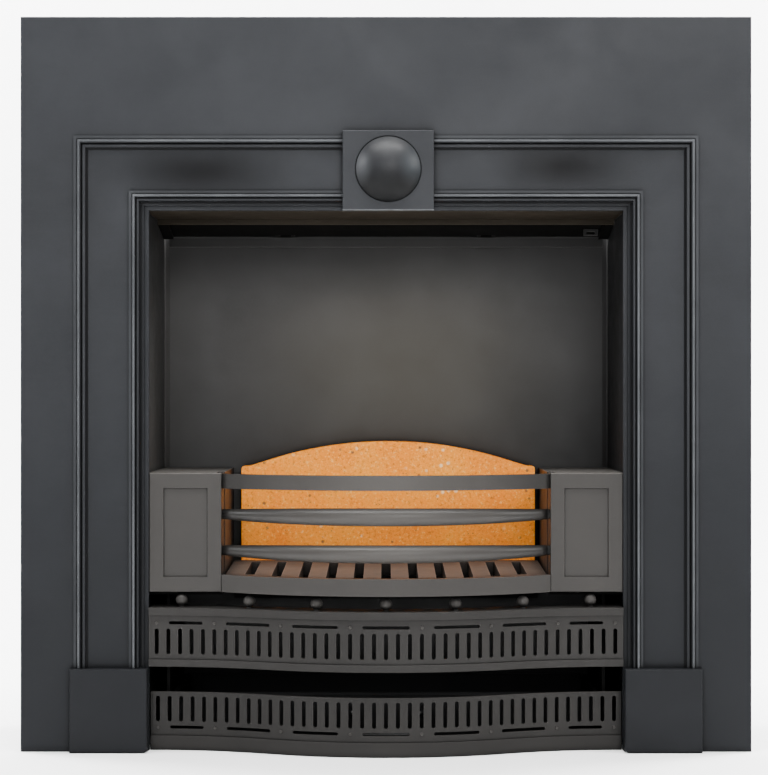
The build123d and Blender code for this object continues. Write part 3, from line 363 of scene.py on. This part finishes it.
# ---------------------------------------------------------------------------
# stage
# ---------------------------------------------------------------------------
def cyclorama():
    prof = [(-5.0, 0.0), (1.2, 0.0)]
    for i in range(1, 13):
        a = math.radians(90 * i / 12)
        prof.append((1.2 + 0.9 * math.sin(a), 0.9 - 0.9 * math.cos(a)))
    prof.append((2.1, 5.0))
    vs, fs = [], []
    for y, z in prof:
        vs += [(-6.0, y, z - 0.0005), (6.0, y, z - 0.0005)]
    for i in range(len(prof) - 1):
        fs.append((2 * i, 2 * i + 1, 2 * i + 3, 2 * i + 2))
    me = bpy.data.meshes.new("backdrop")
    me.from_pydata(vs, [], fs)
    me.update()
    for p in me.polygons:
        p.use_smooth = True
    o = bpy.data.objects.new("backdrop", me)
    bpy.context.scene.collection.objects.link(o)
    m = Mat("backdrop_pale", 0.9, 0.0, 0.2)
    c = m.ramp(m.noise(1.5, 2, 0.5), [(0.3, (0.90, 0.90, 0.90)), (0.7, (0.93, 0.93, 0.93))])
    m.color(c)
    # clear from behind, so that the back of the object can be seen past the wall
    geo = m.t.nodes.new("ShaderNodeNewGeometry")
    clear = m.t.nodes.new("ShaderNodeBsdfTransparent")
    both = m.t.nodes.new("ShaderNodeMixShader")
    m.link(geo.outputs["Backfacing"], both.inputs[0])
    m.link(m.bsdf.outputs[0], both.inputs[1])
    m.link(clear.outputs[0], both.inputs[2])
    m.link(both.outputs[0], m.out.inputs["Surface"])
    o.data.materials.append(m.m)
    return o


cyclorama()

world = bpy.data.worlds.new("studio")
bpy.context.scene.world = world
world.use_nodes = True
bg = world.node_tree.nodes["Background"]
bg.inputs["Color"].default_value = (1.0, 1.0, 1.0, 1.0)
bg.inputs["Strength"].default_value = 0.30


def area(name, loc, target, size, size_y, power, color=(1, 1, 1)):
    d = bpy.data.lights.new(name, "AREA")
    d.shape = "RECTANGLE"
    d.size = size
    d.size_y = size_y
    d.energy = power
    d.color = color
    o = bpy.data.objects.new(name, d)
    bpy.context.scene.collection.objects.link(o)
    o.location = loc
    o.rotation_euler = (Vector(target) - Vector(loc)).to_track_quat("-Z", "Y").to_euler()
    return o


area("side_right", (2.4, F - 0.60, 1.75), (0.2, F, 0.80), 0.5, 0.9, 62, (1.0, 0.99, 0.97))
area("side_left", (-2.4, F - 0.60, 1.75), (-0.2, F, 0.80), 0.5, 0.9, 52, (0.96, 0.98, 1.0))
area("top", (0.0, F - 0.75, 2.9), (0.0, F, 0.60), 2.6, 0.6, 165)
area("front", (0.7, -4.2, 1.9), (0.0, 0.0, 0.45), 1.6, 1.2, 150)
area("front_low", (-0.8, -4.0, 1.2), (0.0, 0.0, 0.45), 1.0, 1.0, 40, (0.95, 0.97, 1.0))
area("behind_left", (-1.9, 0.7, 2.8), (-1.2, 2.1, 0.6), 1.8, 0.8, 380)
area("behind_right", (1.9, 0.7, 2.8), (1.2, 2.1, 0.6), 1.8, 0.8, 380)

# ---------------------------------------------------------------------------
# camera
# ---------------------------------------------------------------------------
cam_data = bpy.data.cameras.new("camera")
cam = bpy.data.objects.new("camera", cam_data)
bpy.context.scene.collection.objects.link(cam)
cam.location = (0.0, F - 2.5, 0.464)
cam.rotation_euler = (math.radians(90), 0.0, 0.0)
cam_data.lens = 88.0
cam_data.sensor_width = 36.0
cam_data.shift_x = -2.0 / 775.0
cam_data.shift_y = 12.5 / 775.0
cam_data.clip_start = 0.05
bpy.context.scene.camera = cam
